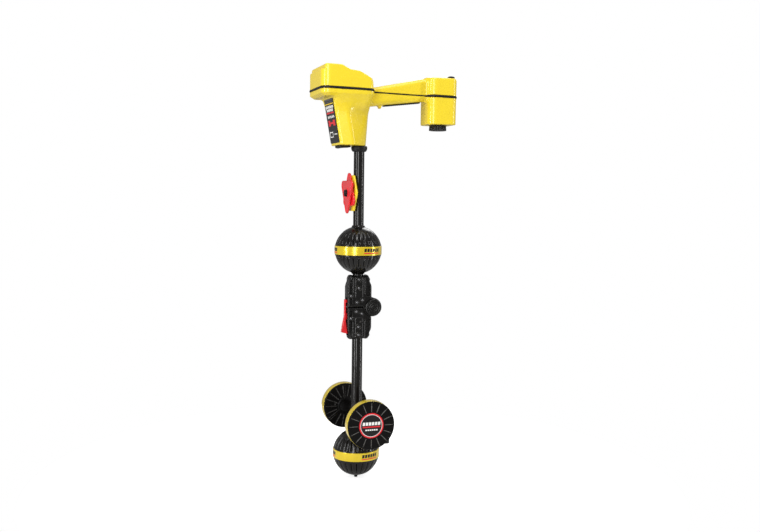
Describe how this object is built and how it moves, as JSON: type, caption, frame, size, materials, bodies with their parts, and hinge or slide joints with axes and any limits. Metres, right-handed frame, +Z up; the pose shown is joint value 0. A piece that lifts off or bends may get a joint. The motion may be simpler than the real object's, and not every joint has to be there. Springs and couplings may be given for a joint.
{
  "type": "folding handheld utility line locator",
  "caption": "Handheld underground line locator: control head with handle and battery box, folding mast, two ball antennas and two disc antennas.",
  "frame": {"origin": "centre of the flat end of the tip under the lower ball, on the mast's axis", "axes": "+Z up along the mast to the control head, +X rearwards to the handle and battery box, +Y to the instrument's right-hand side"},
  "size_m": [0.2796, 0.191, 0.7904],
  "materials": {
    "casing_yellow": "semi-gloss moulded",
    "black_plastic": "semi-gloss moulded",
    "rubber": "matt",
    "red_plastic": "semi-gloss moulded",
    "mast_black": "glossy tube",
    "label_black": "printed film",
    "steel": "plain",
    "cell_jacket": "satin",
    "copper": "enamelled wire",
    "window": "clear",
    "display": "matt",
    "board": "satin"
  },
  "bodies": {
    "handset": {"upper_casing": "casing_yellow", "lower_casing": "casing_yellow", "seam_gasket": "rubber", "display_window": "window", "lcd_panel": "display", "main_board": "board", "speaker": "black_plastic", "keypad_mat": "rubber", "grip_strip": "rubber", "battery_cell_1": "cell_jacket", "battery_cell_2": "cell_jacket", "battery_cell_3": "cell_jacket", "battery_cell_4": "cell_jacket", "contact_plate": "board", "stem_label": "label_black", "mast_collar": "rubber", "upper_mast": "mast_black", "marker_post": "rubber", "upper_ball_top": "black_plastic", "upper_ball_bottom": "black_plastic", "upper_ball_band": "casing_yellow", "upper_windings": "copper", "joint_upper_left": "black_plastic", "joint_upper_right": "black_plastic", "hinge_pin": "steel", "hinge_cap_left": "black_plastic", "hinge_cap_right": "black_plastic", "latch_catch": "steel"},
    "lower_assembly": {"joint_lower_left": "black_plastic", "joint_lower_right": "black_plastic", "lever_pin": "steel", "lever_spring": "steel", "lower_mast": "mast_black", "lower_ball_top": "black_plastic", "lower_ball_bottom": "black_plastic", "lower_ball_band": "casing_yellow", "lower_windings": "copper", "base_tip": "rubber", "antenna_yoke": "black_plastic", "disc_left_inner_cover": "black_plastic", "disc_left_outer_cover": "black_plastic", "disc_left_band": "casing_yellow", "disc_left_coil": "copper", "disc_right_inner_cover": "black_plastic", "disc_right_outer_cover": "black_plastic", "disc_right_band": "casing_yellow", "disc_right_coil": "copper"},
    "lever": {"release_lever": "red_plastic"},
    "marker_stack": {"marker_yellow": "casing_yellow", "marker_red_rear": "red_plastic", "marker_red_front": "red_plastic"},
    "door": {"battery_door": "casing_yellow"},
    "knob": {"door_knob": "black_plastic"},
    "power_key": {"key_power": "red_plastic"},
    "menu_key": {"key_menu": "rubber"},
    "up_key": {"key_up": "rubber"},
    "select_key": {"key_select": "rubber"},
    "sound_key": {"key_sound": "rubber"},
    "earphone_cap": {"jack_cap": "rubber"},
    "flap": {"port_flap": "rubber"}
  },
  "joints": [
    {"name": "mast_fold", "type": "hinge", "parent": "handset", "child": "lower_assembly", "pos_m": [0.0268, 0, 0.336], "axis": [0, -1, 0], "range_deg": [0, 178]},
    {"name": "lever_rock", "type": "hinge", "parent": "lower_assembly", "child": "lever", "pos_m": [-0.0158, 0, 0.318], "axis": [0, -1, 0], "range_deg": [0, 9], "stiffness_Nm_per_rad": 0.3, "springref_deg": -11.46},
    {"name": "marker_pull", "type": "slide", "parent": "handset", "child": "marker_stack", "axis": [-1, 0, 0], "range_m": [0, 0.03]},
    {"name": "door_drop", "type": "slide", "parent": "handset", "child": "door", "axis": [0, 0, -1], "range_m": [0, 0.045]},
    {"name": "knob_turn", "type": "hinge", "parent": "door", "child": "knob", "pos_m": [0.1606, 0, 0.684], "axis": [0, 0, 1], "range_deg": [0, 720]},
    {"name": "power_press", "type": "slide", "parent": "handset", "child": "power_key", "axis": [-0.3373, 0, -0.9414], "range_m": [0, 0.0012], "stiffness_N_per_m": 400, "springref_m": -0.002},
    {"name": "menu_press", "type": "slide", "parent": "handset", "child": "menu_key", "axis": [-0.3373, 0, -0.9414], "range_m": [0, 0.0012], "stiffness_N_per_m": 400, "springref_m": -0.002},
    {"name": "up_press", "type": "slide", "parent": "handset", "child": "up_key", "axis": [-0.3373, 0, -0.9414], "range_m": [0, 0.0012], "stiffness_N_per_m": 400, "springref_m": -0.002},
    {"name": "select_press", "type": "slide", "parent": "handset", "child": "select_key", "axis": [-0.3373, 0, -0.9414], "range_m": [0, 0.0012], "stiffness_N_per_m": 400, "springref_m": -0.002},
    {"name": "sound_press", "type": "slide", "parent": "handset", "child": "sound_key", "axis": [-0.3373, 0, -0.9414], "range_m": [0, 0.0012], "stiffness_N_per_m": 400, "springref_m": -0.002},
    {"name": "cap_pull", "type": "slide", "parent": "handset", "child": "earphone_cap", "axis": [0, 0, 1], "range_m": [0, 0.012]},
    {"name": "flap_swing", "type": "hinge", "parent": "handset", "child": "flap", "pos_m": [-0.02, 0, 0.6447], "axis": [0, -1, 0], "range_deg": [0, 80]}
  ]
}
